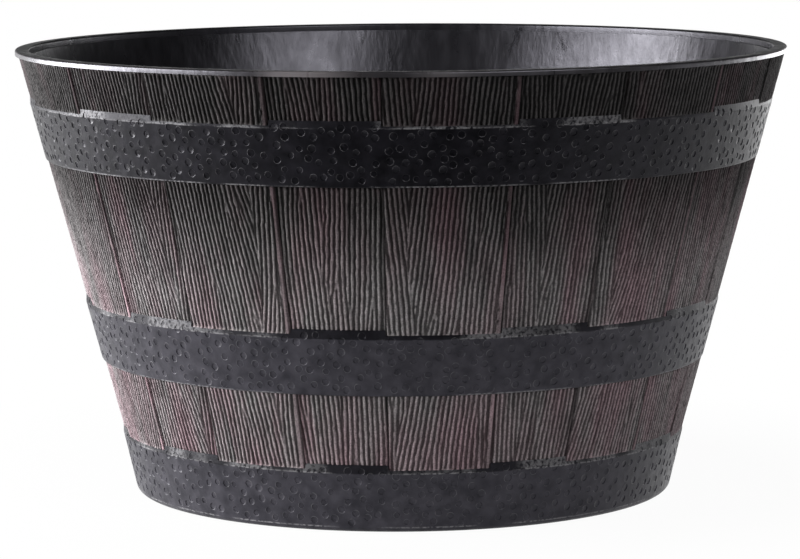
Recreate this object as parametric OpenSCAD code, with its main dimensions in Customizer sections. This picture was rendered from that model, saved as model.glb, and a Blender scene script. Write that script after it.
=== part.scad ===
// Half-barrel flower pot with wood-effect staves, three hoops and a drain plug.
// Millimetres. The pot stands on z = 0, Z is its axis and the front is towards -Y.

/* [Overall] */
// Diameter over the rim lip
rim_d = 520; // [440:1:600]
// Height from the ground to the top of the rim
height = 300; // [260:1:360]
// Lean of the wall from the vertical, in degrees
wall_angle = 14.9; // [10:0.1:18]

/* [Rim] */
// Height of the smooth lip that crowns the staves
lip_h = 3.4; // [2.6:0.1:8]
// How far the lip stands out from the wide staves
lip_proud = 1.4; // [0.5:0.1:4]
// Rounding of the lip's two top edges
lip_round = 1.2; // [0.4:0.1:1.3]
// Width of the rim seen from above
rim_w = 9.5; // [7:0.1:10.8]
// Depth of the step just inside the rim
rim_step_h = 4.5; // [2:0.1:12]

/* [Staves] */
// Pairs of one wide and one narrow stave round the pot
stave_pairs = 10; // [7:1:14]
// Share of each pair's arc that the wide stave takes
wide_share = 0.54; // [0.35:0.01:0.65]
// Turn of the first seam from the front, in degrees
first_seam = -2.7; // [-18:0.1:18]
// Thickness of a wide stave, measured level
stave_t = 5.2; // [4:0.1:12]
// How far the narrow staves lie behind the wide ones
narrow_recess = 0.9; // [0.2:0.1:1.4]
// Width of the groove between two staves
groove_w = 1.4; // [0.4:0.1:4]

/* [Hoops] */
// Height of the top and middle hoops
hoop_h = 37.5; // [20:0.5:48]
// Height of the bottom hoop, from the ground
base_hoop_h = 39.5; // [24:0.5:56]
// Rim's top to the top hoop's upper edge
top_hoop_drop = 35.5; // [16:0.5:60]
// Ground to the middle hoop's lower edge
mid_hoop_z = 91.5; // [70:0.5:120]
// How deep the hoops are let into the wide staves
hoop_seat = 2; // [1.6:0.1:3]
// How far the top hoop stands out from the wide staves
top_hoop_proud = 0.35; // [0.1:0.05:3]
// How far the middle hoop stands out from the wide staves
mid_hoop_proud = 0.7; // [0.1:0.05:3]
// How far the bottom hoop stands out from the wide staves
base_hoop_proud = 0.6; // [0.1:0.05:3]
// Bevel of the lower edge of the top and middle hoops
hoop_bevel = 0.5; // [0.2:0.1:1.5]

/* [Tub] */
// Thickness of the tub's wall, measured level
tub_wall = 4.1; // [3:0.1:8]
// Thickness of the tub's floor
floor_t = 6; // [4:0.1:12]
// Rounding where the wall meets the floor inside
floor_round = 8; // [3:0.5:20]

/* [Foot] */
// Height of the foot that the bottom hoop turns under the tub
foot_h = 5; // [3:0.5:10]
// How far the foot reaches in under the tub's floor
foot_in = 12; // [6:0.5:30]
// Rounding of the pot's bottom edge
foot_round = 4.5; // [1:0.5:8]

/* [Drain] */
// Diameter of the drain hole in the middle of the floor
drain_d = 19; // [12:0.5:30]
// Gap round the plug's stem and under its flange
plug_gap = 0.3; // [0.2:0.05:0.5]
// How far the plug's flange laps over the floor round the hole
plug_lap = 5.5; // [3:0.5:12]
// Thickness of the plug's flange
plug_flange_t = 3; // [2:0.5:6]
// How far the plug's stem shows below the floor
plug_tip = 1.5; // [0.5:0.5:2.5]
// Width of the finger tab on the plug
tab_w = 14; // [8:0.5:16]
// Thickness of the finger tab
tab_t = 3; // [2:0.5:5]
// Height of the finger tab above the flange
tab_h = 10; // [6:0.5:16]

/* [Hidden] */
$fn = 240;
arc_steps = 8;
cut_over = 1;
face_root = 1;
front = -90;
slope = tan(wall_angle);
lip_z = height - lip_h;
floor_z = foot_h + floor_t;
pair_deg = 360 / stave_pairs;
wide_deg = pair_deg * wide_share;
groove_deg = asin(groove_w / rim_d);
stave_count = 2 * stave_pairs;

// Each hoop: lower edge of its face, upper edge, how far it stands out
TOP_HOOP = [height - top_hoop_drop - hoop_h, height - top_hoop_drop, top_hoop_proud];
MID_HOOP = [mid_hoop_z, mid_hoop_z + hoop_h, mid_hoop_proud];
BASE_HOOP = [foot_h, base_hoop_h, base_hoop_proud];

// The open bands of a stave, from the upper edge of one hoop to the lower edge of the next
BANDS = [
    [ring_top(BASE_HOOP), MID_HOOP[0]],
    [ring_top(MID_HOOP), TOP_HOOP[0]],
    [ring_top(TOP_HOOP), lip_z],
];

// Radii at height z: wide stave face, hoop seat, tub outside, tub inside
function wide_r(z) = rim_d / 2 - lip_proud - (lip_z - z) * slope;
function seat_r(z) = wide_r(z) - hoop_seat;
function tub_r(z) = wide_r(z) - stave_t;
function inner_r(z) = tub_r(z) - tub_wall;

// A hoop's face radius, and where its straight-drawn upper edge meets a wide and a narrow stave
function face_r(hoop, z) = wide_r(z) + hoop[2];
function ring_top(hoop) = hoop[1] + hoop[2] / slope;
function tab_top(hoop) = ring_top(hoop) + narrow_recess / slope;

// Staves are counted from 1, wide and narrow in turn
function is_wide(i) = i % 2 == 1;
function stave_start(i) = front + first_seam + pair_deg * floor((i - 1) / 2) + (is_wide(i) ? 0 : wide_deg);
function stave_deg(i) = is_wide(i) ? wide_deg : pair_deg - wide_deg;
function stave_recess(i) = is_wide(i) ? 0 : narrow_recess;
function stave_name(i) = str("stave_", i < 10 ? "0" : "", i);

// Points along an arc of radius r about a centre, from angle a to angle b
function arc(centre, r, a, b) = [
    for (k = [0 : arc_steps]) let (t = a + (b - a) * k / arc_steps) centre + r * [cos(t), sin(t)]
];

// Turns an outline about Z through part of a circle
module sector(start, deg, outline) {
    rotate_extrude(angle = deg, start = start)
        polygon(outline);
}

// Smooth inner shell with its floor, and the lip that crowns the staves
module tub() {
    rim_r = rim_d / 2;
    rim_in_r = rim_r - rim_w;
    step_z = height - rim_step_h;
    round_z = floor_z + floor_round;
    // Centre of the floor rounding, so that it runs smoothly into the leaning wall
    round_r = inner_r(round_z) + floor_round * slope - floor_round / cos(wall_angle);
    color("#2b2a2c")
        rotate_extrude()
            polygon(concat(
                [[drain_d / 2, foot_h], [tub_r(foot_h), foot_h], [tub_r(lip_z), lip_z], [rim_r, lip_z]],
                arc([rim_r - lip_round, height - lip_round], lip_round, 0, 90),
                arc([rim_in_r + lip_round, height - lip_round], lip_round, 90, 180),
                [[rim_in_r, step_z], [inner_r(step_z), step_z]],
                arc([round_r, round_z], floor_round, -wall_angle, -90),
                [[drain_d / 2, floor_z]]
            ));
}

// One stave: a core that the hoops go round, and a proud face in each band between the hoops
module stave(i) {
    start = stave_start(i);
    deg = stave_deg(i);
    color(is_wide(i) ? "#5a5150" : "#494344") {
        sector(start, deg, [
            [tub_r(foot_h), foot_h],
            [seat_r(foot_h), foot_h],
            [seat_r(lip_z), lip_z],
            [tub_r(lip_z), lip_z],
        ]);
        for (band = BANDS)
            sector(start + groove_deg, deg - 2 * groove_deg, [
                [seat_r(band[0]) - face_root, band[0]],
                [wide_r(band[0]) - stave_recess(i), band[0]],
                [wide_r(band[1]) - stave_recess(i), band[1]],
                [seat_r(band[1]) - face_root, band[1]],
            ]);
    }
}

// Cuts a hoop's upper edge back over each wide stave, so that it runs up over the narrow ones alone
module wide_stave_cuts(hoop) {
    edge_r = face_r(hoop, hoop[1]);
    for (i = [1 : 2 : stave_count])
        sector(stave_start(i) - groove_deg, stave_deg(i) + 2 * groove_deg, [
            [edge_r - narrow_recess - cut_over, ring_top(hoop)],
            [edge_r + cut_over, ring_top(hoop)],
            [edge_r + cut_over, tab_top(hoop) + cut_over],
            [edge_r - narrow_recess - cut_over, tab_top(hoop) + cut_over],
        ]);
}

// Outline of a hoop from its upper edge round to the top of its seat
function upper_outline(hoop) = let (edge_r = face_r(hoop, hoop[1]), seat_z = ring_top(hoop)) [
    [edge_r, hoop[1]],
    [edge_r, tab_top(hoop)],
    [edge_r - narrow_recess, seat_z],
    [seat_r(seat_z), seat_z],
];

// Top or middle hoop, let into the staves, with a bevelled lower edge
module hoop_band(hoop) {
    low = hoop[0];
    difference() {
        rotate_extrude()
            polygon(concat(
                [
                    [seat_r(low), low],
                    [face_r(hoop, low) - hoop_bevel, low],
                    [face_r(hoop, low + hoop_bevel), low + hoop_bevel],
                ],
                upper_outline(hoop)
            ));
        wide_stave_cuts(hoop);
    }
}

module hoop_top() {
    color("#2f2e31")
        hoop_band(TOP_HOOP);
}

module hoop_middle() {
    color("#2f2e31")
        hoop_band(MID_HOOP);
}

// Bottom hoop, turned under the staves and the tub as the pot's foot
module hoop_base() {
    foot_r = tub_r(foot_h) - foot_in;
    // Centre of the edge rounding, so that it runs smoothly into the leaning face
    round_r = face_r(BASE_HOOP, foot_round) + foot_round * slope - foot_round / cos(wall_angle);
    color("#2f2e31")
        difference() {
            rotate_extrude()
                polygon(concat(
                    [[foot_r, 0]],
                    arc([round_r, foot_round], foot_round, -90, -wall_angle),
                    upper_outline(BASE_HOOP),
                    [[seat_r(foot_h), foot_h], [foot_r, foot_h]]
                ));
            wide_stave_cuts(BASE_HOOP);
        }
}

// Push-in plug that closes the drain hole from inside, with a tab to pull it by
module drain_plug() {
    seat_z = floor_z + plug_gap;
    stem_r = drain_d / 2 - plug_gap;
    color("#1c1c1d") {
        translate([0, 0, foot_h - plug_tip])
            cylinder(r = stem_r, h = seat_z - foot_h + plug_tip + plug_flange_t);
        translate([0, 0, seat_z])
            cylinder(r = drain_d / 2 + plug_lap, h = plug_flange_t);
        translate([-tab_w / 2, -tab_t / 2, seat_z])
            cube([tab_w, tab_t, plug_flange_t + tab_h]);
    }
}

tub();
for (i = [1 : stave_count])
    stave(i);
hoop_top();
hoop_middle();
hoop_base();
drain_plug();
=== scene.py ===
import math

import bpy
import numpy as np
from mathutils import Matrix, Vector
from mathutils.geometry import delaunay_2d_cdt

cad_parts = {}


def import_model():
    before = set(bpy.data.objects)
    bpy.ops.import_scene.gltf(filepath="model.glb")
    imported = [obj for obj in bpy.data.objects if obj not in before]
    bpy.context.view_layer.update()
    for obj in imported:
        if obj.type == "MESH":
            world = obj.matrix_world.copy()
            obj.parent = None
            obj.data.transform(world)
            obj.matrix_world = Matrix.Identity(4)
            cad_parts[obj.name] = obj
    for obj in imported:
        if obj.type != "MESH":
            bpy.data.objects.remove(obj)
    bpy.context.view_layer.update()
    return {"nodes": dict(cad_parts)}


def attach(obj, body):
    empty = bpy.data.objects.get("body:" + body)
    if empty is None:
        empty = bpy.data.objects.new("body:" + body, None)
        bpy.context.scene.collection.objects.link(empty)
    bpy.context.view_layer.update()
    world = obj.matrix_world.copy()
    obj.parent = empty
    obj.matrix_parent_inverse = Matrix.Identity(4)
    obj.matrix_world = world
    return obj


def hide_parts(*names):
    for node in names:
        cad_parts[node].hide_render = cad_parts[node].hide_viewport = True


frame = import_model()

# Lengths are in metres. The axis of the pot is Z, and azimuth runs from the front (-Y) towards +X.
MM = 0.001

# Places nearer to each other than this count as one
TINY = 0.02 * MM
# Edges that turn more than this are drawn sharp
SHARP_TURN = math.radians(35)
ARC_STEPS = 8

# Staves: the steps of their faces, and of the field that the grain is grown in, with its margin in steps
FACE_COLUMN = 0.38 * MM
FACE_ROW = 1.0 * MM
GRAIN_STEP_X = 0.4 * MM
GRAIN_STEP_Z = 1.0 * MM
GRAIN_MARGIN = 10

# Grain: even ridges, grown in passes through filters that each let ridges of one slope through
GRAIN_SEED = 11258
RIDGE_PITCH = 3.12 * MM
PITCH_SPREAD = 0.17
RIDGE_RUN = 45 * MM
RIDGE_DEPTH = 1.1 * MM
RIDGE_WOBBLE = 0.16 * MM
HIGHEST_RIDGE = 1.05
STEEPEST_GRAIN = 0.36
GRAIN_FILTERS = 13
GRAIN_PASSES = 10
GRAIN_CONTRAST = 1.6
GRAIN_CRUMBS = 0.28
JUST_UNDER_ONE = 0.9999

# The line where the grain of a stave's two sides meets: its place as a share of the half width, how far it
# wanders, how steeply the grain leans towards it, how far that reaches, and how fast it turns over there
MEETING_PLACES = (-0.65, 0.65)
MEETING_WANDER = 6 * MM
MEETING_LEANS = (0.05, 0.15)
MEETING_REACH = 22 * MM
MEETING_TURN = 1.2 * MM
# Distance from that line at which the grain runs along the stave's edges, and how much it sways
EDGE_GRAIN_REACH = 25 * MM
BROAD_SWAY = 0.035
FINE_SWAY = 0.03

# The broad ridge along the right edge of a wide stave, and the groove on its inner side. Heights and depths
# are in those of the grain.
EDGE_RIDGE = 3.0 * MM
EDGE_EASE = 1.2 * MM
EDGE_HEIGHT = 0.85
EDGE_GROOVE = 0.5 * MM
EDGE_GROOVE_DEPTH = 1.5

# Where the grooves run out, above the hoops and under the lip, and the crumbs that this is broken into
HOOP_FILL = 1.2 * MM
LIP_FILL = (2.0 * MM, 0.3 * MM)
END_FILL = 0.9
CRUMB_LEVELS = (-1.0, 0.6)

# How far the columns at a stave's edges, and the next ones, rise from the seat to the face
SEAM_RISE = 0.4
SHOULDER_RISE = 0.8

# Paint on the staves, from 0 to 1: what is left near the lip, the shares of the height at which it fades to
# that and is full, what the grooves carry, and the grain's heights at which it starts and is full. The fade
# towards the lip is partly thinner paint and partly painted shade, darker where less light falls.
TOP_PAINT_AND_SHADE = 0.28
PAINT_AND_SHADE_FADE = (0.81, 0.49)
GROOVE_PAINT = 0.24
BRUSHED_HEIGHTS = (0.4, 0.9)
# Where it lies thin: the share that is lost, the noise levels at which that starts and is full, and the
# noise's features down and across
THIN_PAINT = (
    (0.25, 0, 2, (8, 12)),
    (0.4, -0.5, 1.8, (12, 34)),
)
# The pink comes in patches, more of it below this share of the height
TINT_HEIGHT = 0.6
TINT_FALL = 2.0
TINT_LEVELS = (-1.3, 3.2)
# Paint that the broad ridge loses where it is less pink, and the dark margins of the narrow staves along
# their seams, partly thinner paint and partly painted shade beside the proud staves
EDGE_LOSS = 0.7
PAINT_AND_SHADE_MARGIN = (1.2 * MM, 3.0 * MM)

# Hoops
HOOP_SEEDS = {"hoop_top": 11913, "hoop_middle": 5020, "hoop_base": 2659}
HOOP_STEP = 4.2 * MM
HOOP_BEVEL = 0.5 * MM
FOOT_ROUND = 4.5 * MM
WELD_STEP = 0.01 * MM
FLAT_STEP = 0.0001 * MM

# Hammer marks. Rings and rims are in radii of the mark, and the rim is raised on one side alone.
DIMPLE_R = 2.5 * MM
DIMPLE_SIZES = (0.82, 1.06)
DIMPLE_DEPTH = 0.35 * MM
DIMPLE_TILT = 0.5
BOWL_FLOOR = 0.85
RIM_HEIGHT = 0.07 * MM
RIM_PLACE = 1.04
RIM_WIDTH = 0.04
RIM_SIDE = (-0.3, 0.9)
DIMPLE_RINGS = (1.17, 1.1, RIM_PLACE, 0.98, BOWL_FLOOR)
DIMPLE_SIDES = 16
DIMPLE_REACH = DIMPLE_SIZES[1] * DIMPLE_RINGS[0] * DIMPLE_R
DIMPLE_CLEAR = 0.1 * MM
DIMPLE_GAP = 6.5 * MM
SCATTER_MISSES = 400

# Paint on the hoops, from 0 to 1: on the rims of the marks, along the creases and on the ledges. On the last
# two it comes in streaks, and starts and is full at these noise levels.
RIM_PAINT = 0.55
CREASE_PAINT = 0.8
CREASE_LEVELS = (-0.5, 1.0)
CREASE_WIDTH = 0.8 * MM
LEDGE_PAINT = 0.45
LEDGE_LEVELS = (0.1, 1.3)
STREAKS_PER_STAVE = 4
STREAK_STEPS = 100

# Tub. Its noise fades out towards azimuth 0, over this angle, because it wouldn't join there.
TUB_SEED = 7
TUB_SEGMENTS = 400
TUB_ROW = 5.0 * MM
FLOOR_RINGS = 30
LIP_ROUND = 1.2 * MM
FLOOR_ROUND = 8.0 * MM
STEP_CLEAR = 0.1 * MM
WALL_RIPPLE = 0.12 * MM
NOISE_FADE = 0.15
LIP_PAINT = 0.1
LIP_LEVELS = (-0.2, 1.0)

# Plug: the ring moulded on its flange and the tab's corners are given as shares of the flange and the tab
PLUG_ROUND = 0.7 * MM
PLUG_SIDES = 96
PLUG_RING = 0.72
TAB_CORNER = 0.45

# Colours, linear. Pairs are the darker and the lighter end of a mottled colour.
WHITE = (1, 1, 1, 1)
COOL_GLOSS = (0.9, 0.88, 1, 1)
PLAIN_GROOVE = (0.0013, 0.0012, 0.0013, 1)
PINK_GROOVE = (0.014, 0.007, 0.0085, 1)
PLAIN_RIDGE = (0.300, 0.283, 0.286, 1)
PINK_RIDGE = (0.345, 0.242, 0.268, 1)
# The hoops are one charcoal: the upper one darkened as painted shade, the lower ones lightened as painted
# light from the floor
SHADED_UPPER_HOOP = ((0.0018, 0.0018, 0.0025, 1), (0.0105, 0.010, 0.013, 1))
FLOOR_LIT_HOOPS = ((0.018, 0.0175, 0.022, 1), (0.046, 0.044, 0.053, 1))
HOOP_WEAR = (0.26, 0.255, 0.265, 1)
TUB_STREAKS = ((0.0015, 0.0015, 0.002, 1), (0.016, 0.0155, 0.018, 1))
LIP_WEAR = (0.17, 0.155, 0.16, 1)
RUBBER = ((0.010, 0.010, 0.010, 1), (0.026, 0.026, 0.027, 1))
FLOOR_GREY = (0.8, 0.8, 0.8, 1)
# The lower hoops' colour, painted light from the floor, starts below the first of these heights, and is full
# below the second
FLOOR_LIGHT_HEIGHTS = (0.2, 0.14)

# Studio: the pale floor is a wide table top, which ends in front of the pot, below the picture
TABLE_EDGE = -0.47
TABLE_REACH = 14.0
# How white the floor looks beside the pot, where that fades to full white, and where the pot hides it
FLOOR_WHITE = 0.96
SHADOW_FADE = (0.26, 0.45)
UNDER_POT = (0.14, 0.16)
# The world's own light, and how high and how far round the white horizon reaches
WORLD_FILL = 0.02
HORIZON_TOP = (0.06, 0.14)
HORIZON_SIDES = (-0.3, 0.2)
# Each softbox: azimuth and elevation in degrees, distance, width, height and brightness
SOFTBOXES = {
    "left_softbox": (-82, 21, 1.6, 1.6, 0.6, 15.5),
    "low_softbox": (-102, 7, 1.5, 1.1, 0.34, 17.0),
    "right_softbox": (33, 31, 1.8, 1.1, 0.55, 6.0),
    "back_softbox": (135, 6, 1.8, 1.2, 0.34, 6.5),
}
# Camera: its place, how far it looks down, turns and rolls in degrees, and its sensor and lens in millimetres
CAMERA_PLACE = (0, -2.5378, 0.4593)
CAMERA_DOWN = 7.168
CAMERA_TURN = 0.034
CAMERA_ROLL = -0.327
SENSOR_WIDTH = 36.0
LENS = 168.8


# Sizes read from the frame

def corners(node):
    """Radius, height and azimuth of each vertex of a CAD node."""
    vertices = frame["nodes"][node].data.vertices
    co = np.empty(len(vertices) * 3, np.float32)
    vertices.foreach_get("co", co)
    x, y, z = co.reshape(-1, 3).astype(float).T
    return np.hypot(x, y), z, np.arctan2(x, -y)


def shared_heights(node, share=0.05):
    """The heights at which more than that share of a node's vertices lie, from the lowest up."""
    heights, counts = np.unique(np.round(corners(node)[1], 5), return_counts=True)
    return heights[counts > share * counts.sum()]


def read_wall():
    """The leaning wall: a wide stave's heights, radii and slope, and how far a narrow one lies behind."""
    r, z, _ = corners("stave_01")
    # The foot, then the lower and the upper ends of the three open bands, the last of them at the lip
    heights = shared_heights("stave_01")
    low = abs(z - heights[0]) < TINY
    high = abs(z - heights[-1]) < TINY
    return {
        "foot_z": heights[0],
        "lip_z": heights[-1],
        "bands": [tuple(heights[k:k + 2]) for k in (1, 3, 5)],
        "slope": (r[high].min() - r[low].min()) / (heights[-1] - heights[0]),
        "back_r": r[low].min(),
        "seat_r": r[low].max(),
        "face_r": r[high].max(),
        "recess": r[high].max() - corners("stave_02")[0].max(),
    }


WALL = read_wall()
STAVES = sorted(node for node in frame["nodes"] if node.startswith("stave_"))


def seat_r(z):
    """Radius at height z of the staves' cores, which the hoops lie on."""
    return WALL["seat_r"] + (z - WALL["foot_z"]) * WALL["slope"]


def back_r(z):
    """Radius at height z of the staves' backs and the tub's outside."""
    return WALL["back_r"] + (z - WALL["foot_z"]) * WALL["slope"]


def face_r(z):
    """Radius at height z of the wide staves' faces."""
    return WALL["face_r"] + (z - WALL["lip_z"]) * WALL["slope"]


def stave_span(node):
    """Azimuths at which a stave begins, its face begins, its face ends, and the stave ends."""
    r, z, azimuth = corners(node)
    middle = math.atan2(np.sin(azimuth).mean(), np.cos(azimuth).mean())
    turn = (azimuth - middle + math.pi) % (2 * math.pi) - math.pi
    face = turn[r > seat_r(z) + TINY]
    return middle + turn.min(), middle + face.min(), middle + face.max(), middle + turn.max()


# Meshes

def place(r, azimuth, z):
    """Points at those cylindrical coordinates."""
    r, azimuth, z = np.broadcast_arrays(r, azimuth, z)
    return np.stack([r * np.sin(azimuth), -r * np.cos(azimuth), z], -1).reshape(-1, 3)


def arc(centre, radius, start, end):
    """Points along an arc in the radius-height plane, with angles in radians."""
    t = np.linspace(start, end, ARC_STEPS + 1)
    return [(centre[0] + radius * math.cos(a), centre[1] + radius * math.sin(a)) for a in t]


def grid_faces(index, closed=False):
    """Quads between the neighbouring rows and columns of a grid of vertex numbers."""
    if closed:
        index = np.concatenate([index, index[:, :1]], 1)
    return np.stack([index[:-1, :-1], index[:-1, 1:], index[1:, 1:], index[1:, :-1]], -1).reshape(-1, 4)


def build(name, points, face_groups, values=None):
    """A smooth-shaded mesh object. Each face group holds faces with equally many corners."""
    mesh = bpy.data.meshes.new(name)
    mesh.vertices.add(len(points))
    mesh.vertices.foreach_set("co", np.asarray(points, np.float32).ravel())
    groups = [np.asarray(group, np.int32) for group in face_groups if len(group)]
    sizes = np.concatenate([np.full(len(group), group.shape[1]) for group in groups])
    mesh.loops.add(int(sizes.sum()))
    mesh.loops.foreach_set("vertex_index", np.concatenate([group.ravel() for group in groups]))
    mesh.polygons.add(len(sizes))
    mesh.polygons.foreach_set("loop_start", np.concatenate([[0], np.cumsum(sizes)[:-1]]).astype(np.int32))
    mesh.polygons.foreach_set("use_smooth", np.ones(len(sizes), bool))
    for key, value in (values or {}).items():
        made = mesh.attributes.new(key, "FLOAT", "POINT")
        made.data.foreach_set("value", np.asarray(value, np.float32).ravel())
    mesh.update(calc_edges=True)
    mesh.validate()
    mesh.set_sharp_from_angle(angle=SHARP_TURN)
    piece = bpy.data.objects.new(name, mesh)
    bpy.context.scene.collection.objects.link(piece)
    return piece


def finish_piece(piece, body, slot, look, *nodes):
    """Gives a piece its material, hides the solids it replaces, and attaches it to the body it moves with."""
    piece.data.materials.append(look)
    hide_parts(*nodes)
    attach(piece, body)


def smooth_noise(rng, shape, cells):
    """Random values with about that many features down and across, smoothly joined."""
    def lattice(count, size):
        t = np.linspace(0, count, size)
        i = np.minimum(t.astype(int), count - 1)
        f = t - i
        return i, f * f * (3 - 2 * f)

    coarse = rng.standard_normal((cells[0] + 1, cells[1] + 1))
    iz, fz = lattice(cells[0], shape[0])
    ix, fx = lattice(cells[1], shape[1])
    above = coarse[np.ix_(iz, ix)] * (1 - fx) + coarse[np.ix_(iz, ix + 1)] * fx
    below = coarse[np.ix_(iz + 1, ix)] * (1 - fx) + coarse[np.ix_(iz + 1, ix + 1)] * fx
    return above * (1 - fz[:, None]) + below * fz[:, None]


def smoothstep(start, full, value):
    """0 before the start, 1 past the full value, and smooth between them. Either may be the larger."""
    t = np.clip((value - start) / (full - start), 0, 1)
    return t * t * (3 - 2 * t)


def sample(field, row, column):
    """Bilinear reading of a field at fractional rows and columns."""
    row = np.clip(row, 0, field.shape[0] - 1.001)
    column = np.clip(column, 0, field.shape[1] - 1.001)
    i, j = row.astype(int), column.astype(int)
    v, u = row - i, column - j
    top = field[i, j] * (1 - u) + field[i, j + 1] * u
    bottom = field[i + 1, j] * (1 - u) + field[i + 1, j + 1] * u
    return top * (1 - v) + bottom * v


# Staves

def grain_slopes(rng, x, half_angle):
    """Sideways slope of the grain: along the edges of the stave, and towards a line where both sides meet."""
    shape = x.shape
    edge = half_angle * WALL["slope"]
    side = rng.uniform(*MEETING_PLACES)
    lean = rng.uniform(*MEETING_LEANS)
    off = x - side * half_angle * WALL["face_r"] - MEETING_WANDER * smooth_noise(rng, shape, (5, 1))
    pull = lean * (1 + 0.5 * smooth_noise(rng, shape, (6, 3)))
    along_edge = edge * np.clip(abs(off) / EDGE_GRAIN_REACH, 0, 1)
    to_meeting = pull * np.exp(-abs(off) / MEETING_REACH)
    slope = np.tanh(off / MEETING_TURN) * (along_edge + to_meeting)
    slope = slope + BROAD_SWAY * smooth_noise(rng, shape, (7, 4))
    return slope + FINE_SWAY * smooth_noise(rng, shape, (22, 12))


def grain_filters(shape, slopes):
    """One filter for each slope, which passes ridges of the even pitch at that slope."""
    fx = np.fft.rfftfreq(shape[1], GRAIN_STEP_X)[None, :]
    fz = np.fft.fftfreq(shape[0], GRAIN_STEP_Z)[:, None]
    filters = []
    for slope in slopes:
        lean = math.atan(slope)
        across = fx * math.cos(lean) - fz * math.sin(lean)
        along = fx * math.sin(lean) + fz * math.cos(lean)
        pitch_error = (abs(across) * RIDGE_PITCH - 1) / PITCH_SPREAD
        filters.append(np.exp(-pitch_error ** 2 / 2 - (along * RIDGE_RUN) ** 2 / 2))
    return np.array(filters)


def grain(rng, half_angle):
    """Ridges of even pitch, from -1 to 1, that fork and end where the grain's slopes force them to."""
    rows = int(WALL["lip_z"] / GRAIN_STEP_Z) + 2 * GRAIN_MARGIN
    columns = 2 * int(half_angle * WALL["face_r"] / GRAIN_STEP_X) + 2 * GRAIN_MARGIN
    x = np.broadcast_to((np.arange(columns) - columns / 2) * GRAIN_STEP_X, (rows, columns))
    slopes = np.linspace(-STEEPEST_GRAIN, STEEPEST_GRAIN, GRAIN_FILTERS)
    filters = grain_filters((rows, columns), slopes)
    # The last filter is never quite reached, so that each place lies between two of them
    numbers = np.arange(GRAIN_FILTERS) * JUST_UNDER_ONE
    position = np.interp(grain_slopes(rng, x, half_angle), slopes, numbers)
    lower = position.astype(int)
    share = position - lower
    field = rng.standard_normal((rows, columns))
    for _ in range(GRAIN_PASSES):
        passed = np.fft.irfft2(np.fft.rfft2(field)[None] * filters, s=(rows, columns))
        mixed = (
            np.take_along_axis(passed, lower[None], 0)[0] * (1 - share)
            + np.take_along_axis(passed, lower[None] + 1, 0)[0] * share
        )
        field = np.tanh(GRAIN_CONTRAST * mixed / mixed.std())
    return field + GRAIN_CRUMBS * smooth_noise(rng, (rows, columns), (rows // 2, columns // 4))


def band_rows():
    """Heights of a stave's rows, and how far each has risen from the seat to the face."""
    rows = [(WALL["foot_z"], 0)]
    for low, high in WALL["bands"]:
        rows.append((low, 0))
        rows += [(z, 1) for z in np.linspace(low, high, int((high - low) / FACE_ROW))]
        rows.append((high, 0))
    # The last band runs up to the lip without a step
    rows.pop()
    z, risen = np.array(rows).T
    return z[:, None], risen[:, None]


def face_columns(start, face_start, face_end, end):
    """Azimuths of a stave's columns, and how far each has risen from the seat to the face."""
    count = int((face_end - face_start) * WALL["face_r"] / FACE_COLUMN)
    face = np.linspace(face_start, face_end, count)
    azimuth = np.concatenate([[start, face_start], face, [face_end, end]])
    rise = np.ones(len(azimuth))
    rise[[0, 1, -2, -1]] = SEAM_RISE
    rise[[2, -3]] = SHOULDER_RISE
    return azimuth[None, :], rise[None, :]


def edge_ridge(ridge, from_edge):
    """Adds the broad ridge along an edge of a stave, with a groove on its inner side."""
    share = smoothstep(EDGE_RIDGE, EDGE_RIDGE - EDGE_EASE, from_edge)
    groove = EDGE_GROOVE_DEPTH * np.exp(-((from_edge - EDGE_RIDGE - EDGE_GROOVE) / EDGE_GROOVE) ** 2)
    return ridge * (1 - share) + EDGE_HEIGHT * share - groove


def ridge_ends(z):
    """1 where the grooves run out: just above the hoops, and under the lip."""
    ends = smoothstep(WALL["lip_z"] - LIP_FILL[0], WALL["lip_z"] - LIP_FILL[1], z)
    for low, _ in WALL["bands"]:
        ends = np.maximum(ends, np.exp(-((z - low) / HOOP_FILL) ** 2) * (z >= low))
    return ends


def grain_height(rng, wide, half_angle, x, z, from_right):
    """Height of a stave's grain, from 0 in the grooves to about 1 on the ridges."""
    field = grain(rng, half_angle)
    wobble = RIDGE_WOBBLE * smooth_noise(rng, x.shape, (50, 24))
    row = z / GRAIN_STEP_Z + GRAIN_MARGIN / 2
    column = (x + wobble) / GRAIN_STEP_X + field.shape[1] / 2
    ridge = sample(field, row, column)
    if wide:
        ridge = edge_ridge(ridge, from_right + wobble)
    height = np.clip(0.5 + 0.5 * ridge, 0, HIGHEST_RIDGE)
    crumbs = smoothstep(*CRUMB_LEVELS, smooth_noise(rng, x.shape, (90, 40)))
    return height + (1 - height) * END_FILL * crumbs * ridge_ends(z)


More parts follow.
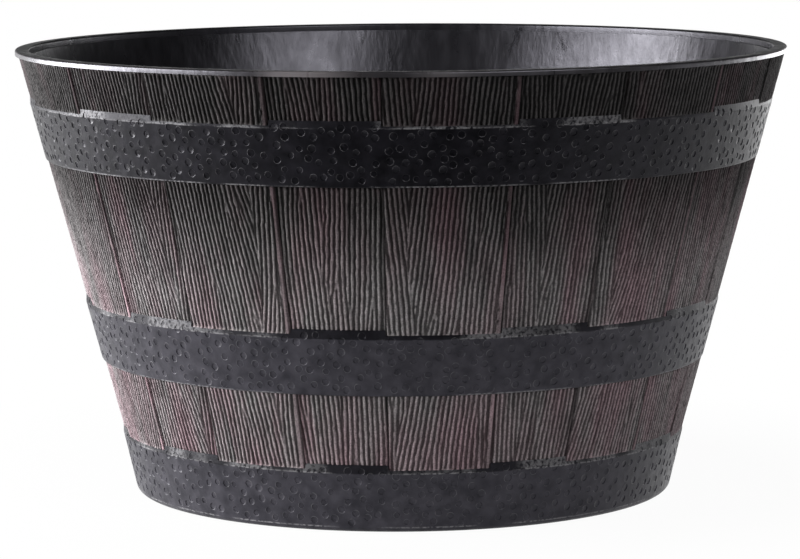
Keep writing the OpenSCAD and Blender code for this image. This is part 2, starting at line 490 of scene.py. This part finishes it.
def stave_paint_and_shade(rng, wide, height, z, from_left, from_right):
    """How much paint a stave's face carries, partly painted shade, and how pink that is, both from 0 to 1."""
    shape = height.shape
    share_up = z / WALL["lip_z"]
    # Towards the lip the paint fades: partly thinner paint, partly painted shade.
    fade = TOP_PAINT_AND_SHADE + (1 - TOP_PAINT_AND_SHADE) * smoothstep(*PAINT_AND_SHADE_FADE, share_up)
    brushed = smoothstep(*BRUSHED_HEIGHTS, height)
    paint_and_shade = fade * (GROOVE_PAINT * fade + (1 - GROOVE_PAINT) * brushed)
    for loss, start, full, cells in THIN_PAINT:
        paint_and_shade = paint_and_shade * (1 - loss * smoothstep(start, full, smooth_noise(rng, shape, cells)))
    patches = smooth_noise(rng, shape, (3, 4)) + 0.5 * smooth_noise(rng, shape, (7, 16))
    tint = smoothstep(*TINT_LEVELS, patches + TINT_FALL * (TINT_HEIGHT - share_up))
    if wide:
        along_edge = 0.5 + 0.5 * smoothstep(-1, 1, smooth_noise(rng, shape, (9, 1)))
        edge = smoothstep(EDGE_RIDGE + EDGE_GROOVE, EDGE_RIDGE - EDGE_GROOVE, from_right)
        tint = np.maximum(tint, edge * along_edge)
        paint_and_shade = paint_and_shade * (1 - edge * EDGE_LOSS * (1 - along_edge))
    else:
        # Along their seams the narrow staves darken: partly thinner paint, partly painted shade from the
        # proud staves.
        margin = smoothstep(*PAINT_AND_SHADE_MARGIN, np.minimum(from_left, from_right))
        paint_and_shade = paint_and_shade * (0.5 + 0.5 * margin)
    return paint_and_shade, tint


def stave_faces(index, back_index):
    """Faces of a closed stave: quads over its outside, back and ends, and fans of triangles for its sides."""
    split = len(index) // 2
    fans = []
    for column, order in ((0, 1), (-1, -1)):
        edge = index[:, column]
        low, high = back_index[:, column]
        fans += [(low, *pair)[::order] for pair in zip(edge[:split], edge[1:split + 1])]
        fans += [(high, *pair)[::order] for pair in zip(edge[split:], edge[split + 1:])]
        fans.append((low, edge[split], high)[::order])
    quads = [
        grid_faces(index),
        grid_faces(back_index)[:, ::-1],
        grid_faces(np.stack([back_index[0], index[0]])),
        grid_faces(np.stack([index[-1], back_index[1]])),
    ]
    return np.concatenate(quads), fans


def stave_piece(node, seed):
    """A closed stave, with its grained outside and a plain back."""
    rng = np.random.default_rng(seed)
    start, face_start, face_end, end = stave_span(node)
    half_angle = (end - start) / 2
    azimuth, rise = face_columns(start, face_start, face_end, end)
    z, risen = band_rows()
    wide = corners(node)[0].max() > WALL["face_r"] - WALL["recess"] / 2

    aside = azimuth - start - half_angle
    from_left = (aside + half_angle) * face_r(z)
    from_right = (half_angle - aside) * face_r(z)
    height = grain_height(rng, wide, half_angle, aside * face_r(z), z, from_right)
    paint_and_shade, tint = stave_paint_and_shade(rng, wide, height, z, from_left, from_right)
    face = face_r(z) - (0 if wide else WALL["recess"]) - RIDGE_DEPTH * (1 - height)
    outer = seat_r(z) + (face - seat_r(z)) * rise * risen

    back_z = np.array([[WALL["foot_z"]], [WALL["lip_z"]]])
    back = place(back_r(back_z), azimuth, back_z)
    index = np.arange(outer.size).reshape(outer.shape)
    back_index = outer.size + np.arange(len(back)).reshape(2, -1)
    on_back = np.zeros(len(back))
    values = {
        "paint_and_shade": np.append(paint_and_shade * risen * (0.5 + 0.5 * rise), on_back),
        "tint": np.append(tint, on_back),
    }
    points = np.concatenate([place(outer, azimuth, z), back])
    return build(node + "_grain", points, stave_faces(index, back_index), values)


# Hoops

def read_hoop(node):
    """A hoop's lower edge, the end of its face, its tops over wide and narrow staves, and its radii."""
    r, z, _ = corners(node)
    edge_r = r.max()
    edge_z = z[r > edge_r - TINY].min()
    seats = [low for low, _ in WALL["bands"]]
    return {
        "low": z.min(),
        "edge_r": edge_r,
        "edge_z": edge_z,
        "ring_z": min(seats, key=lambda height: abs(height - edge_z)),
        "tab_z": z.max(),
        "proud": edge_r - face_r(edge_z),
        "inner_r": r.min(),
    }


def hoop_outline(hoop, is_base):
    """Visible outline of a hoop from its lower edge up to the end of its face."""
    if is_base:
        lean = math.atan(WALL["slope"])
        centre_r = (
            face_r(FOOT_ROUND) + hoop["proud"] + FOOT_ROUND * WALL["slope"] - FOOT_ROUND / math.cos(lean)
        )
        start = arc((centre_r, FOOT_ROUND), FOOT_ROUND, -math.pi / 2, -lean)
    else:
        low = hoop["low"]
        start = [
            (face_r(low) + hoop["proud"] - HOOP_BEVEL, low),
            (face_r(low + HOOP_BEVEL) + hoop["proud"], low + HOOP_BEVEL),
        ]
    return start + [(hoop["edge_r"], hoop["edge_z"])]


def hoop_back(hoop, outline, is_base):
    """Hidden outline of a hoop, from its upper edge down its seat and round to its lower edge."""
    ring_z = hoop["ring_z"]
    back = [(hoop["edge_r"] - WALL["recess"], ring_z), (seat_r(ring_z), ring_z)]
    if is_base:
        foot_z = WALL["foot_z"]
        back += [(seat_r(foot_z), foot_z), (hoop["inner_r"], foot_z), (hoop["inner_r"], 0)]
    else:
        back.append((seat_r(hoop["low"]), hoop["low"]))
    return back + [outline[0]]


def hoop_shares(hoop):
    """For each stave, the azimuths between which a hoop passes over it, and the height of its top there."""
    spans = [stave_span(name) for name in STAVES]
    shares = []
    for k, (_, face_start, face_end, _) in enumerate(spans):
        narrow = k % 2 == 1
        if narrow:
            shares.append((face_start, face_end, hoop["tab_z"]))
        else:
            before, after = spans[k - 1], spans[(k + 1) % len(spans)]
            start = face_start - (face_start - before[2]) % (2 * math.pi)
            end = face_end + (after[1] - face_end) % (2 * math.pi)
            shares.append((start, end, hoop["ring_z"]))
    return shares


def dimple_height(x, t):
    """Relief of a tilted hammer mark, with its rim raised on the +x side. Lengths are in its radii."""
    distance = np.hypot(x, t)
    bowl = -DIMPLE_DEPTH * smoothstep(1.0, BOWL_FLOOR, distance) * (1 - DIMPLE_TILT * x)
    rim = RIM_HEIGHT * smoothstep(*RIM_SIDE, x) * np.exp(-((distance - RIM_PLACE) / RIM_WIDTH) ** 2)
    return (bowl + rim) * (distance < DIMPLE_RINGS[0])


def scatter(rng, width, low, high):
    """Places for hammer marks, no two nearer than the gap, found by throwing darts."""
    side = DIMPLE_REACH + DIMPLE_CLEAR
    found = np.empty((0, 2))
    misses = 0
    while misses < SCATTER_MISSES:
        spot = np.array([rng.uniform(side, width - side), rng.uniform(low + side, high - side)])
        if len(found) and np.hypot(*(found - spot).T).min() < DIMPLE_GAP:
            misses += 1
            continue
        found = np.vstack([found, spot])
        misses = 0
    return found


def patch_outline(hoop, outline, top):
    """A hoop's outline up to its top over one stave, and how far along it each of its points lies."""
    outline = outline + [(hoop["edge_r"], hoop["ring_z"])]
    if top > hoop["ring_z"] + TINY:
        outline = outline + [(hoop["edge_r"], top)]
    outline = np.array(outline)
    return outline, np.concatenate([[0], np.cumsum(np.hypot(*np.diff(outline, axis=0).T))])


def patch_lines(width, along, creases, marks, sizes):
    """Lines that the triangles of a flat patch keep to: its rows, its two sides and its hammer marks."""
    xs = np.linspace(0, width, max(2, round(width / HOOP_STEP)) + 1)
    rows = np.concatenate([along, creases - CREASE_WIDTH, creases + CREASE_WIDTH])
    lines = [[(x, t) for x in xs] for t in rows if t >= 0]
    for low, high in zip(along[:-1], along[1:]):
        ts = np.linspace(low, high, max(1, round((high - low) / HOOP_STEP)) + 1)
        lines += [[(x, t) for t in ts] for x in (0, width)]
    turn = 2 * math.pi * np.arange(DIMPLE_SIDES + 1) / DIMPLE_SIDES
    for (x, t), size in zip(marks, sizes):
        for radius in size * np.array(DIMPLE_RINGS):
            lines.append([(x + radius * math.cos(a), t + radius * math.sin(a)) for a in turn])
        lines.append([(x, t)])
    return lines


def flat_triangles(lines):
    """Triangles that keep to those lines: the two coordinates of their corners, and the corners' numbers."""
    points, edges = [], []
    for line in lines:
        edges += [(k, k + 1) for k in range(len(points), len(points) + len(line) - 1)]
        points += line
    found, _, faces, _, _, _ = delaunay_2d_cdt([Vector(point) for point in points], edges, [], 0, FLAT_STEP)
    x, t = np.array([tuple(point) for point in found]).T
    return x, t, np.array(faces)


def marks_relief(x, t, marks, sizes, turns):
    """Relief of all the hammer marks of a patch, each turned its own way."""
    relief = np.zeros(len(x))
    for mark, size, turn in zip(marks, sizes, turns):
        dx, dt = (x - mark[0]) / size, (t - mark[1]) / size
        relief += dimple_height(
            dx * math.cos(turn) + dt * math.sin(turn), dt * math.cos(turn) - dx * math.sin(turn)
        )
    return relief


def patch_finish(t, relief, creases, streak):
    """How much paint is left on each point of a patch, and whether the point lies on the ledge."""
    worn = RIM_PAINT * np.clip(relief / RIM_HEIGHT, 0, 1)
    for crease in creases:
        on_crease = CREASE_PAINT * (abs(t - crease) < TINY)
        worn = np.maximum(worn, on_crease * smoothstep(*CREASE_LEVELS, streak))
    ledge = (t > creases[-1] - TINY).astype(float)
    worn = np.maximum(worn, LEDGE_PAINT * ledge * smoothstep(*LEDGE_LEVELS, streak))
    return np.stack([worn, ledge], -1)


def hoop_patch(rng, hoop, outline, start, end, top, streaks):
    """One stave's share of a hoop's outside, hammered and worn, and the azimuths of its upper edge."""
    whole, along = patch_outline(hoop, outline, top)
    creases = along[len(outline) - 2:len(outline)]
    width = (end - start) * hoop["edge_r"]
    marks = scatter(rng, width, creases[0], along[-1])
    sizes = rng.uniform(*DIMPLE_SIZES, len(marks)) * DIMPLE_R
    turns = rng.uniform(0, 2 * math.pi, len(marks))
    x, t, faces = flat_triangles(patch_lines(width, along, creases, marks, sizes))
    relief = marks_relief(x, t, marks, sizes, turns)
    streak = np.interp(x, np.linspace(0, width, len(streaks)), streaks)
    r, z = [np.interp(t, along, values) for values in whole.T]
    azimuth = start + x / hoop["edge_r"]
    patch = (place(r + relief, azimuth, z), faces, patch_finish(t, relief, creases, streak))
    return patch, np.unique(azimuth[abs(t - along[-1]) < TINY])


def ledge_sides(hoop, start, end):
    """The two small upright faces at the ends of a hoop's ledge over a narrow stave."""
    steps = max(1, round((hoop["tab_z"] - hoop["ring_z"]) / HOOP_STEP))
    heights = np.linspace(hoop["ring_z"], hoop["tab_z"], steps + 1)
    fan = np.array([(0, 1 + m, 2 + m) for m in range(steps)])
    sides = []
    for azimuth, faces in ((start, fan), (end, fan[:, ::-1])):
        corner = place(hoop["edge_r"] - WALL["recess"], azimuth, hoop["ring_z"])
        points = np.concatenate([corner, place(hoop["edge_r"], azimuth, heights)])
        sides.append(plain_part(points, faces))
    return sides


def plain_part(points, faces):
    """A part of a hoop without paint or ledge."""
    return points, faces, np.zeros((len(points), 2))


def join(parts):
    """The points, the triangles and quads, and the finish of several parts in one."""
    count = 0
    groups = {3: [], 4: []}
    for points, faces, _ in parts:
        groups[faces.shape[1]].append(faces + count)
        count += len(points)
    points, _, finish = zip(*parts)
    joined = [np.concatenate(group) for group in groups.values()]
    return np.concatenate(points), joined, np.concatenate(finish)


def weld(points, faces, values):
    """Makes one point of those that share a place on a fine grid, and drops faces that this closes up."""
    keys = np.round(points / WELD_STEP).astype(np.int64)
    _, first, back = np.unique(keys, axis=0, return_index=True, return_inverse=True)
    back = back.ravel()
    joined = []
    for group in faces:
        group = back[group]
        ordered = np.sort(group, 1)
        joined.append(group[(np.diff(ordered, axis=1) > 0).all(1)])
    return points[first], joined, values[first]


def hoop_piece(node, seed):
    """A closed hoop: a hammered patch over each stave with the back behind it, and the ends of its ledges."""
    rng = np.random.default_rng(seed)
    hoop = read_hoop(node)
    is_base = hoop["low"] < TINY
    outline = hoop_outline(hoop, is_base)
    back = hoop_back(hoop, outline, is_base)
    shares = hoop_shares(hoop)
    features = (1, STREAKS_PER_STAVE * len(shares))
    streaks = smooth_noise(rng, (2, STREAK_STEPS * len(shares)), features)[0].reshape(len(shares), -1)
    parts = []
    for (start, end, top), streak in zip(shares, streaks):
        patch, azimuths = hoop_patch(rng, hoop, outline, start, end, top, streak)
        chain = [(hoop["edge_r"], top)] + back
        rows = np.concatenate([place(r, azimuths, z) for r, z in chain])
        parts += [patch, plain_part(rows, grid_faces(np.arange(len(rows)).reshape(len(chain), -1)))]
        if top > hoop["ring_z"] + TINY:
            parts += ledge_sides(hoop, start, end)
    points, faces, finish = weld(*join(parts))
    return build(node + "_hammered", points, faces, {"worn": finish[:, 0], "ledge": finish[:, 1]})


# Tub

def read_tub():
    """The tub's radii and heights at its lip, the step inside its rim, its wall, floor and drain hole."""
    r, z, _ = corners("tub")
    rim_r, hole_r = r.max(), r.min()
    lip_z = z[r > rim_r - TINY].min()
    rim_in = r[z > lip_z + TINY].min()
    step_z = z[r < rim_in - STEP_CLEAR].max()
    floor_z = z[r < hole_r + TINY].max()
    return {
        "rim_r": rim_r,
        "top": z.max(),
        "lip_z": lip_z,
        "rim_in": rim_in,
        "step_z": step_z,
        "wall_r": r[abs(z - step_z) < TINY].min(),
        "hole_r": hole_r,
        "foot_z": z.min(),
        "floor_z": floor_z,
        "round_z": floor_z + FLOOR_ROUND,
    }


def tub_inside(tub):
    """Outline of the tub's inside, from the step down the wall and over the floor to the drain hole."""
    lean = math.atan(WALL["slope"])
    round_z = tub["round_z"]
    round_r = (
        tub["wall_r"] - (tub["step_z"] - round_z) * WALL["slope"]
        + FLOOR_ROUND * WALL["slope"] - FLOOR_ROUND / math.cos(lean)
    )
    wall_end = arc((round_r, round_z), FLOOR_ROUND, -lean, -math.pi / 2)
    wall_top = (tub["wall_r"], tub["step_z"])
    drop = np.subtract(wall_end[0], wall_top)
    steps = int((tub["step_z"] - wall_end[0][1]) / TUB_ROW)
    wall = [tuple(np.add(wall_top, drop * k / steps)) for k in range(steps)]
    floor = [(r, tub["floor_z"]) for r in np.linspace(round_r, tub["hole_r"], FLOOR_RINGS)[1:]]
    return wall + wall_end + floor


def tub_outline(tub):
    """Closed outline of the tub, from the foot of its drain hole round the outside and the rim."""
    lip_centre_z = tub["top"] - LIP_ROUND
    return (
        [(tub["hole_r"], tub["foot_z"]), (back_r(tub["foot_z"]), tub["foot_z"])]
        + [(back_r(tub["lip_z"]), tub["lip_z"]), (tub["rim_r"], tub["lip_z"])]
        + arc((tub["rim_r"] - LIP_ROUND, lip_centre_z), LIP_ROUND, 0, math.pi / 2)
        + arc((tub["rim_in"] + LIP_ROUND, lip_centre_z), LIP_ROUND, math.pi / 2, math.pi)
        + [(tub["rim_in"], tub["step_z"])]
        + tub_inside(tub)
    )


def tub_piece(seed):
    """The closed tub, with a faint ripple in its wall and paint brushed on its lip in patches."""
    rng = np.random.default_rng(seed)
    tub = read_tub()
    r, z = np.array(tub_outline(tub)).T
    azimuth = np.linspace(0, 2 * math.pi, TUB_SEGMENTS, endpoint=False)
    shape = (len(r), TUB_SEGMENTS)
    fade = smoothstep(0, NOISE_FADE, azimuth) * smoothstep(2 * math.pi, 2 * math.pi - NOISE_FADE, azimuth)
    ripple = smooth_noise(rng, shape, (8, 40)) * WALL_RIPPLE
    inside = ((r < tub["wall_r"] - TINY) & (z > tub["round_z"])).astype(float)
    radius = r[:, None] + ripple * inside[:, None] * fade[None, :]
    points = place(radius, azimuth[None, :], z[:, None])
    index = np.arange(len(points)).reshape(shape)
    index = np.concatenate([index, index[:1]])
    lip = ((r > tub["rim_r"] - LIP_ROUND) & (z > tub["lip_z"] - TINY)).astype(float)
    patches = smoothstep(*LIP_LEVELS, smooth_noise(rng, (2, TUB_SEGMENTS), (1, 26))[0]) * fade
    brushed = lip[:, None] * (LIP_PAINT + (1 - LIP_PAINT) * patches)[None, :]
    return build("tub_shell", points, [grid_faces(index, closed=True)], {"brushed": brushed})


# Plug

def read_plug():
    """The plug's heights and radii, and half the width and thickness of its finger tab."""
    r, z, _ = corners("drain_plug")
    bottom, under, over = shared_heights("drain_plug")[:3]
    vertices = frame["nodes"]["drain_plug"].data.vertices
    half_w, half_t, top = np.array([vertex.co for vertex in vertices if vertex.co.z > over + TINY]).max(0)
    return {
        "bottom": bottom,
        "under": under,
        "over": over,
        "top": top,
        "stem_r": r[z < bottom + TINY].max(),
        "flange_r": r.max(),
        "half_w": half_w,
        "half_t": half_t,
    }


def plug_outline(plug):
    """Outline of the stem and flange, with a ring moulded on the flange."""
    flange_r = plug["flange_r"] - PLUG_ROUND
    dish = plug["over"] - PLUG_ROUND
    return (
        arc((plug["stem_r"] - PLUG_ROUND, plug["bottom"] + PLUG_ROUND), PLUG_ROUND, -math.pi / 2, 0)
        + [(plug["stem_r"], plug["under"])]
        + arc((flange_r, plug["under"] + PLUG_ROUND), PLUG_ROUND, -math.pi / 2, 0)
        + arc((flange_r, dish), PLUG_ROUND, 0, math.pi / 2)
        + arc((plug["flange_r"] * PLUG_RING, dish), PLUG_ROUND, 0, math.pi)
    )


def tab_layers(plug):
    """Closed outlines of the finger tab, one behind the other, with its edges rounded."""
    half_w = plug["half_w"]
    corner = half_w * TAB_CORNER
    quarter = np.linspace(0, math.pi / 2, ARC_STEPS // 2 + 1)
    steps = [(-1, a) for a in quarter[::-1]] + [(1, a) for a in quarter]
    layers = []
    for side, a in steps:
        y = side * (plug["half_t"] - PLUG_ROUND + PLUG_ROUND * math.sin(a))
        inset = PLUG_ROUND * (1 - math.cos(a))
        right = [(half_w - inset, plug["under"])]
        right += arc((half_w - corner, plug["top"] - corner), corner - inset, 0, math.pi / 2)
        layers.append([(x, y, z) for x, z in right] + [(-x, y, z) for x, z in right[::-1]])
    return np.array(layers)


def plug_piece():
    """Turned stem and flange, and a rounded finger tab across them."""
    plug = read_plug()
    r, z = np.array(plug_outline(plug)).T
    turn = np.linspace(0, 2 * math.pi, PLUG_SIDES, endpoint=False)
    body = place(r[:, None], turn[None, :], z[:, None])
    body_index = np.arange(len(body)).reshape(len(r), PLUG_SIDES)
    layers = tab_layers(plug)
    tab_index = len(body) + np.arange(layers.size // 3).reshape(layers.shape[:2])
    points = np.concatenate([body, layers.reshape(-1, 3)])
    sides = [grid_faces(index, closed=True) for index in (body_index, tab_index)]
    caps = [[index[0][::-1], index[-1]] for index in (body_index, tab_index)]
    return build("drain_plug_rubber", points, sides + caps)


# Materials

def add(tree, kind, inputs=None, **settings):
    """A new shader node. Its inputs are given by name or number, as values or as sockets to link."""
    node = tree.nodes.new("ShaderNode" + kind)
    for key, value in settings.items():
        setattr(node, key, value)
    for key, value in (inputs or {}).items():
        if isinstance(value, bpy.types.NodeSocket):
            tree.links.new(value, node.inputs[key])
        else:
            node.inputs[key].default_value = value
    return node


def compute(tree, operation, first, second):
    """A math node on two values."""
    return add(tree, "Math", {0: first, 1: second}, operation=operation).outputs[0]


def ramp(tree, value, low, high, start=0.0, end=1.0):
    """The value's range from low to high, spread over that from start to end, and clamped."""
    inputs = {"Value": value, "From Min": low, "From Max": high, "To Min": start, "To Max": end}
    return add(tree, "MapRange", inputs).outputs["Result"]


def mix(tree, factor, first, second):
    """A mixture of two colours."""
    return add(tree, "Mix", {0: factor, 6: first, 7: second}, data_type="RGBA").outputs[2]


def attribute(tree, name):
    """A value stored in the mesh's points."""
    return add(tree, "Attribute", attribute_name=name).outputs["Fac"]


def noise(tree, size, detail, stretch=(1, 1, 1)):
    """Noise in object space, with features of about that size."""
    where = add(tree, "TexCoord").outputs["Object"]
    placed = add(tree, "Mapping", {"Vector": where, "Scale": stretch}).outputs[0]
    return add(tree, "TexNoise", {"Vector": placed, "Scale": 1 / size, "Detail": detail}).outputs["Fac"]


def material(name, roughness, specular, gloss=WHITE):
    """A new material. A roughness linked later leaves this one to viewers that read no nodes."""
    made = bpy.data.materials.new(name)
    made.use_nodes = True
    shader = made.node_tree.nodes["Principled BSDF"]
    shader.inputs["Roughness"].default_value = roughness
    shader.inputs["Specular IOR Level"].default_value = specular
    shader.inputs["Specular Tint"].default_value = gloss
    return made, made.node_tree, shader.inputs


def set_bump(tree, inputs, value, distance, strength):
    """Fine relief from a value, that distance deep."""
    bump = add(tree, "Bump", {"Height": value, "Distance": distance, "Strength": strength})
    tree.links.new(bump.outputs["Normal"], inputs["Normal"])


def wood_material():
    """Dark moulded grain, with paint dry-brushed over its ridges, pinkish in places, and partly painted
    shade.
    """
    made, tree, inputs = material("moulded_wood", 0.6, 0.1)
    tint = attribute(tree, "tint")
    broken = ramp(tree, noise(tree, 1.2 * MM, 4), 0.33, 0.6, 0.55, 1.0)
    brushed = compute(tree, "MULTIPLY", attribute(tree, "paint_and_shade"), broken)
    groove = mix(tree, tint, PLAIN_GROOVE, PINK_GROOVE)
    ridge = mix(tree, tint, PLAIN_RIDGE, PINK_RIDGE)
    tree.links.new(mix(tree, brushed, groove, ridge), inputs["Base Color"])
    tree.links.new(ramp(tree, brushed, 0, 1, 0.75, 0.5), inputs["Roughness"])
    set_bump(tree, inputs, noise(tree, 0.7 * MM, 3), 0.08 * MM, 0.6)
    return made


def hoop_material():
    """Satin charcoal, mottled, with the paint caught on the rims of the hammer marks and on the edges,
    lighter lower down as painted light from the floor, and with painted shadow on the lower hoops' ledges.
    """
    made, tree, inputs = material("hammered_hoop", 0.3, 0.16, COOL_GLOSS)
    mottled = ramp(tree, noise(tree, 9 * MM, 7), 0.3, 0.7)
    # Painted light: lower down the hoops are lighter, as if lit from the floor below.
    height = add(tree, "SeparateXYZ", {0: add(tree, "TexCoord").outputs["Object"]}).outputs["Z"]
    # Painted shadow: the lower hoops' ledges keep the upper hoop's dark colour.
    ledge = attribute(tree, "ledge")
    low_down = compute(tree, "SUBTRACT", ramp(tree, height, *FLOOR_LIGHT_HEIGHTS), ledge)
    upper = mix(tree, mottled, *SHADED_UPPER_HOOP)
    lower = mix(tree, mottled, *FLOOR_LIT_HOOPS)
    plain = mix(tree, low_down, upper, lower)
    broken = ramp(tree, noise(tree, 2 * MM, 4), 0.36, 0.56)
    worn = compute(tree, "MULTIPLY", attribute(tree, "worn"), broken)
    tree.links.new(mix(tree, worn, plain, HOOP_WEAR), inputs["Base Color"])
    satin = ramp(tree, noise(tree, 6 * MM, 6), 0.3, 0.7, 0.30, 0.46)
    rough = compute(tree, "MAXIMUM", attribute(tree, "worn"), ledge)
    tree.links.new(ramp(tree, rough, 0, 1, satin, 0.5), inputs["Roughness"])
    set_bump(tree, inputs, noise(tree, 6 * MM, 8), 0.4 * MM, 0.7)
    return made


def tub_material():
    """Smooth satin charcoal with upright streaks, and traces of the stave paint on the lip."""
    made, tree, inputs = material("smooth_tub", 0.3, 0.7, COOL_GLOSS)
    streaks = ramp(tree, noise(tree, 14 * MM, 6, (1, 1, 0.4)), 0.25, 0.75)
    plain = mix(tree, streaks, *TUB_STREAKS)
    tree.links.new(mix(tree, attribute(tree, "brushed"), plain, LIP_WEAR), inputs["Base Color"])
    satin = ramp(tree, noise(tree, 10 * MM, 8, (1, 1, 0.4)), 0.25, 0.75, 0.24, 0.40)
    tree.links.new(satin, inputs["Roughness"])
    set_bump(tree, inputs, noise(tree, 5 * MM, 8, (1, 1, 0.3)), 0.4 * MM, 0.7)
    return made


def rubber_material():
    """Matt black rubber, faintly cloudy."""
    made, tree, inputs = material("plug_rubber", 0.65, 0.5)
    tree.links.new(mix(tree, noise(tree, 3 * MM, 4), *RUBBER), inputs["Base Color"])
    set_bump(tree, inputs, noise(tree, 1 * MM, 3), 0.05 * MM, 0.5)
    return made


# Studio

def seen_white(tree):
    """1 for the rays that see the background: those of the camera, of gloss and of glass."""
    path = add(tree, "LightPath").outputs
    white = compute(tree, "MAXIMUM", path["Is Camera Ray"], path["Is Transmission Ray"])
    return compute(tree, "MAXIMUM", white, path["Is Glossy Ray"])


def floor_piece():
    """A pale floor that looks white, but keeps part of the pot's soft shadow, and all of it under the pot."""
    low_x, high_x, low_y, high_y = -TABLE_REACH, TABLE_REACH, TABLE_EDGE, TABLE_REACH
    table = [(low_x, low_y, 0), (high_x, low_y, 0), (high_x, high_y, 0), (low_x, high_y, 0)]
    floor = build("floor", table, [[(0, 1, 2, 3)]])
    made, tree, inputs = material("pale_floor", 0.9, 0.0)
    inputs["Base Color"].default_value = FLOOR_GREY
    where = add(tree, "TexCoord").outputs["Object"]
    distance = add(tree, "VectorMath", {0: where}, operation="LENGTH").outputs["Value"]
    whiteness = ramp(tree, distance, *SHADOW_FADE, FLOOR_WHITE, 1.0)
    whiteness = compute(tree, "MULTIPLY", whiteness, ramp(tree, distance, *UNDER_POT))
    share = compute(tree, "MULTIPLY", seen_white(tree), whiteness)
    white = add(tree, "Emission").outputs[0]
    lit = tree.nodes["Principled BSDF"].outputs[0]
    blend = add(tree, "MixShader", {0: share, 1: lit, 2: white})
    tree.links.new(blend.outputs[0], tree.nodes["Material Output"].inputs["Surface"])
    floor.data.materials.append(made)


def world():
    """White to the camera. For the light it gives, and in gloss, dim but for a white horizon behind."""
    made = bpy.data.worlds.new("studio")
    made.use_nodes = True
    tree = made.node_tree
    path = add(tree, "LightPath").outputs
    toward = add(tree, "SeparateXYZ", {0: add(tree, "TexCoord").outputs["Generated"]}).outputs
    low_down = ramp(tree, toward["Z"], *HORIZON_TOP, 1.0, 0.0)
    horizon = compute(tree, "MULTIPLY", low_down, ramp(tree, toward["Y"], *HORIZON_SIDES))
    white = compute(tree, "MAXIMUM", path["Is Camera Ray"], path["Is Transmission Ray"])
    white = compute(tree, "MAXIMUM", white, compute(tree, "MULTIPLY", path["Is Glossy Ray"], horizon))
    background = tree.nodes["Background"]
    background.inputs["Color"].default_value = WHITE
    tree.links.new(ramp(tree, white, 0, 1, WORLD_FILL, 1.0), background.inputs["Strength"])
    bpy.context.scene.world = made


def softbox(name, azimuth, elevation, distance, width, height, radiance):
    """A soft light that faces the pot from that side, unseen by the camera. Angles are in degrees."""
    a, e = math.radians(azimuth), math.radians(elevation)
    toward = Vector((math.cos(e) * math.sin(a), -math.cos(e) * math.cos(a), math.sin(e)))
    lamp = bpy.data.lights.new(name, "AREA")
    lamp.shape = "RECTANGLE"
    lamp.size, lamp.size_y = width, height
    lamp.energy = radiance * math.pi * width * height
    piece = bpy.data.objects.new(name, lamp)
    piece.location = distance * toward
    piece.rotation_mode = "QUATERNION"
    piece.rotation_quaternion = (-toward).to_track_quat("-Z", "Y")
    piece.visible_camera = False
    bpy.context.scene.collection.objects.link(piece)


def camera():
    """Camera at the photograph's viewing angle: in front, a little above the rim."""
    data = bpy.data.cameras.new("camera")
    data.sensor_width = SENSOR_WIDTH
    data.lens = LENS
    piece = bpy.data.objects.new("camera", data)
    bpy.context.scene.collection.objects.link(piece)
    tilt = Matrix.Rotation(math.radians(90 - CAMERA_DOWN), 4, "X")
    turn = Matrix.Rotation(math.radians(CAMERA_TURN), 4, "Z")
    roll = Matrix.Rotation(math.radians(CAMERA_ROLL), 4, "Z")
    piece.matrix_world = Matrix.Translation(CAMERA_PLACE) @ turn @ tilt @ roll
    bpy.context.scene.camera = piece


wood = wood_material()
for number, name in enumerate(STAVES):
    finish_piece(stave_piece(name, GRAIN_SEED + number), "pot", "stave", wood, name)
hammered = hoop_material()
for name, seed in HOOP_SEEDS.items():
    finish_piece(hoop_piece(name, seed), "pot", "hoop", hammered, name)
finish_piece(tub_piece(TUB_SEED), "pot", "tub", tub_material(), "tub")
finish_piece(plug_piece(), "drain_plug", "plug", rubber_material(), "drain_plug")

floor_piece()
world()
for name, settings in SOFTBOXES.items():
    softbox(name, *settings)
camera()
bpy.context.scene.view_settings.view_transform = "Standard"
